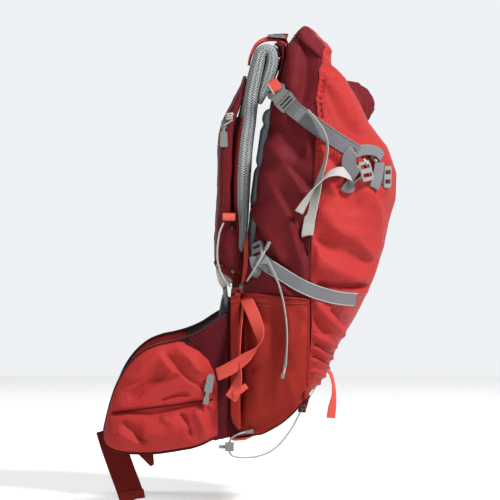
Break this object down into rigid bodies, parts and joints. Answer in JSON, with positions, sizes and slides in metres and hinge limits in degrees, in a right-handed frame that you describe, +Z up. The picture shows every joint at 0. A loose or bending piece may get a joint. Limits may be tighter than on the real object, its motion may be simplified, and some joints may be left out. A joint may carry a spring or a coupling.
{
  "type": "ski backpack",
  "caption": "Slim ski backpack with a flap lid, padded shoulder straps, zipped hip-wing pockets, side pockets and compression straps, hanging by its haul loop",
  "frame": {"origin": "underside of the haul loop's crown, where a hook carries the pack", "axes": "+Z up, +X towards the outer side of the pack, -X towards the wearer, -Y towards the wearer's left"},
  "size_m": [0.4508, 0.3178, 0.7127],
  "materials": {
    "burgundy_cloth": "coated ripstop cloth, satin, deep burgundy",
    "red_ripstop": "coated ripstop cloth, satin, bright red",
    "brick_cloth": "smooth stretch cloth, matt brick red",
    "frame_board": "pressed polyethylene sheet",
    "stay_alloy": "mill finish bar",
    "spacer_mesh": "grey spacer mesh over foam",
    "navy_padding": "dark mesh over foam",
    "dark_webbing": "dark red-brown webbing",
    "red_webbing": "salmon-red webbing",
    "grey_webbing": "grey webbing",
    "grey_plastic": "moulded light-grey acetal",
    "bead_plastic": "orange-red moulding",
    "grey_cord": "braided light-grey cord"
  },
  "bodies": {
    "pack": {"main_bag": "burgundy_cloth", "front_pocket": "red_ripstop", "side_pocket_left": "brick_cloth", "side_pocket_right": "brick_cloth", "frame_sheet": "frame_board", "frame_stay_left": "stay_alloy", "frame_stay_right": "stay_alloy", "back_pad": "spacer_mesh", "lumbar_pad": "navy_padding", "haul_loop": "dark_webbing", "shoulder_strap_left": "spacer_mesh", "shoulder_strap_right": "spacer_mesh", "strap_pocket": "red_ripstop", "load_lifter_left": "red_webbing", "load_lifter_right": "red_webbing", "lifter_buckle_left": "grey_plastic", "lifter_buckle_right": "grey_plastic", "buckle_tab_left": "red_webbing", "buckle_tab_right": "red_webbing", "upper_buckle_left": "grey_plastic", "upper_buckle_right": "grey_plastic", "upper_strap_left": "grey_webbing", "upper_strap_right": "grey_webbing", "lower_strap_left": "grey_webbing", "lower_strap_right": "grey_webbing", "lower_buckle_left": "grey_plastic", "lower_buckle_right": "grey_plastic", "front_strap": "grey_webbing", "front_cam": "grey_plastic", "front_buckle": "grey_plastic", "front_tail": "grey_webbing", "sternum_buckle": "grey_plastic", "sternum_strap": "dark_webbing", "base_tab": "dark_webbing", "base_cord": "grey_cord", "cord_lock": "grey_plastic", "pole_bead": "bead_plastic", "pole_cord": "grey_cord", "toggle_cord": "grey_cord", "foot_strap": "red_webbing", "adjust_strap_left": "red_webbing", "adjust_strap_right": "red_webbing"},
    "lid": {"lid": "red_ripstop"},
    "wing_left": {"wing_left": "navy_padding", "hip_pocket_left": "red_ripstop", "hip_strap_left": "dark_webbing"},
    "wing_right": {"wing_right": "navy_padding", "hip_pocket_right": "red_ripstop", "hip_strap_right": "dark_webbing", "hip_buckle": "grey_plastic"},
    "hip_zip_left": {"hip_zip_pull_left": "grey_plastic"},
    "hip_zip_right": {"hip_zip_pull_right": "grey_plastic"},
    "hip_clip": {"hip_clip": "grey_plastic"},
    "pocket_zip": {"pocket_zip_pull": "grey_plastic"},
    "upper_clip_left": {"upper_clip_left": "grey_plastic"},
    "upper_clip_right": {"upper_clip_right": "grey_plastic"},
    "sternum_clip": {"sternum_clip": "grey_plastic"},
    "adjuster_left": {"adjuster_left": "grey_plastic"},
    "adjuster_right": {"adjuster_right": "grey_plastic"},
    "cord_lock_button": {"cord_lock_button": "bead_plastic"}
  },
  "joints": [
    {"name": "lid_hinge", "type": "hinge", "parent": "pack", "child": "lid", "pos_m": [0.018, 0, 0.0003], "axis": [0, -1, 0], "range_deg": [0, 100]},
    {"name": "wing_left_fold", "type": "hinge", "parent": "pack", "child": "wing_left", "pos_m": [-0.084, -0.11, -0.5], "axis": [0, 0, 1], "range_deg": [-15, 35]},
    {"name": "wing_right_fold", "type": "hinge", "parent": "pack", "child": "wing_right", "pos_m": [-0.084, 0.11, -0.5], "axis": [0, 0, -1], "range_deg": [-15, 35]},
    {"name": "hip_zip_left_slide", "type": "slide", "parent": "wing_left", "child": "hip_zip_left", "axis": [-0.9911, 0, -0.1331], "range_m": [0, 0.125]},
    {"name": "hip_zip_right_slide", "type": "slide", "parent": "wing_right", "child": "hip_zip_right", "axis": [-0.9911, 0, -0.1331], "range_m": [0, 0.125]},
    {"name": "hip_clip_slide", "type": "slide", "parent": "wing_right", "child": "hip_clip", "axis": [0, -1, 0], "range_m": [0, 0.02]},
    {"name": "pocket_zip_slide", "type": "slide", "parent": "pack", "child": "pocket_zip", "axis": [0, 0, -1], "range_m": [0, 0.085]},
    {"name": "upper_clip_left_slide", "type": "slide", "parent": "pack", "child": "upper_clip_left", "axis": [0.5595, -0.5358, -0.6324], "range_m": [0, 0.012]},
    {"name": "upper_clip_right_slide", "type": "slide", "parent": "pack", "child": "upper_clip_right", "axis": [0.5595, 0.5358, -0.6324], "range_m": [0, 0.012]},
    {"name": "sternum_clip_slide", "type": "slide", "parent": "pack", "child": "sternum_clip", "axis": [0, 1, 0], "range_m": [0, 0.012]},
    {"name": "adjuster_left_tilt", "type": "hinge", "parent": "pack", "child": "adjuster_left", "pos_m": [-0.09, -0.078, -0.374], "axis": [0, 1, 0], "range_deg": [-4, 30]},
    {"name": "adjuster_right_tilt", "type": "hinge", "parent": "pack", "child": "adjuster_right", "pos_m": [-0.09, 0.078, -0.374], "axis": [0, 1, 0], "range_deg": [-4, 30]},
    {"name": "cord_lock_press", "type": "slide", "parent": "pack", "child": "cord_lock_button", "axis": [1, 0, 0], "range_m": [0, 0.0024], "stiffness_N_per_m": 400}
  ]
}
